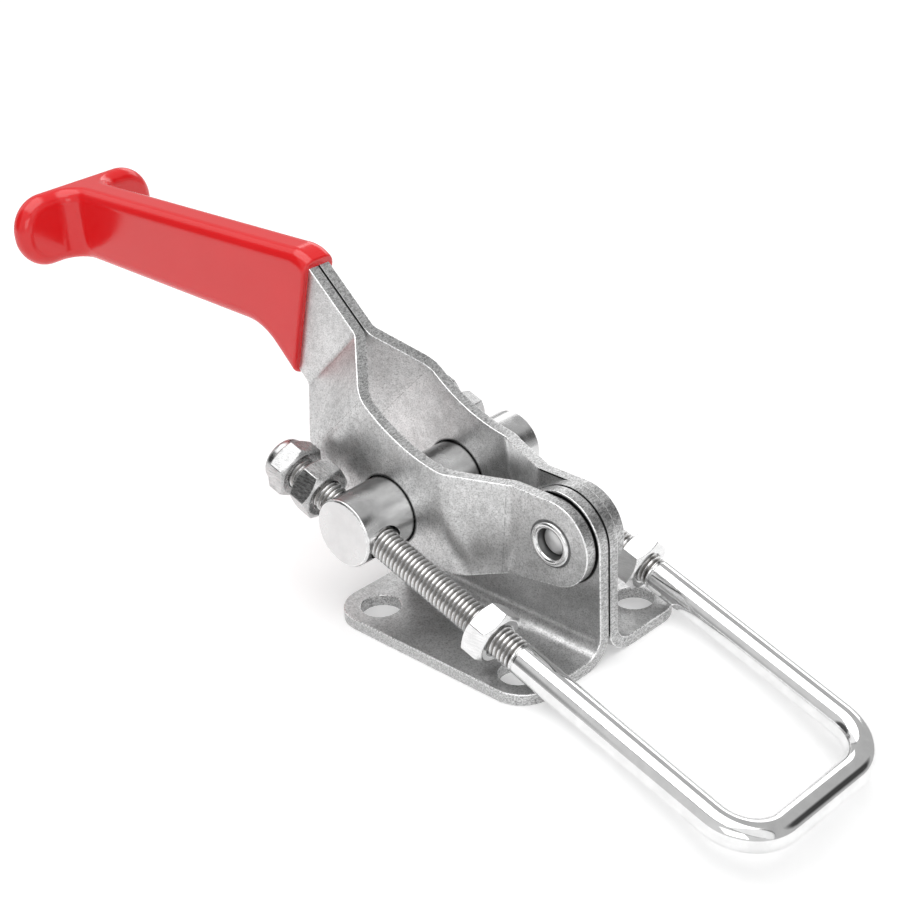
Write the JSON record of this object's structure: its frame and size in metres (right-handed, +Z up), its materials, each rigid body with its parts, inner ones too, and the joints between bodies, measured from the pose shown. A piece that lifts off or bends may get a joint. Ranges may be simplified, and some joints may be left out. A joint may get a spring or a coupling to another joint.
{
  "type": "over centre toggle latch",
  "caption": "Over centre toggle latch with a bent base, a two arm lever with a dipped T grip, and a threaded U hook with nuts.",
  "frame": {"origin": "centre of the base's underside, where the latch is bolted down", "axes": "+X is the pull, towards the hook's end, +Y is to the far side in the picture, +Z is up from the mounting surface"},
  "size_m": [0.2581, 0.065, 0.0969],
  "materials": {
    "sheet_steel": "satin",
    "bright_steel": "bright",
    "grip_vinyl": "gloss",
    "lock_nylon": "satin"
  },
  "bodies": {
    "base": {"base_plate_far": "sheet_steel", "base_plate_near": "sheet_steel"},
    "lever": {"lever_arm_far": "sheet_steel", "lever_arm_near": "sheet_steel", "grip": "grip_vinyl", "pivot_rivet": "bright_steel"},
    "trunnion": {"trunnion": "bright_steel"},
    "hook": {"hook_rod": "bright_steel", "front_nut_far": "bright_steel", "jam_nut_far": "bright_steel", "lock_nut_far": "bright_steel", "insert_far": "lock_nylon", "front_nut_near": "bright_steel", "jam_nut_near": "bright_steel", "lock_nut_near": "bright_steel", "insert_near": "lock_nylon"}
  },
  "joints": [
    {"name": "lever_hinge", "type": "hinge", "parent": "base", "child": "lever", "pos_m": [0.0209, 0, 0.0309], "axis": [0, 1, 0], "range_deg": [0, 160]},
    {"name": "trunnion_swivel", "type": "hinge", "parent": "lever", "child": "trunnion", "pos_m": [-0.02608, 0.0017, 0.02629], "axis": [0, 1, 0], "range_deg": [-160, 0]},
    {"name": "hook_slide", "type": "slide", "parent": "trunnion", "child": "hook", "axis": [0.9536, -0.0147, -0.3007], "range_m": [-0.0322, 0.0008]}
  ],
  "couplings": [
    {"joint": "trunnion_swivel", "follows": "lever_hinge", "ratio": -1}
  ]
}
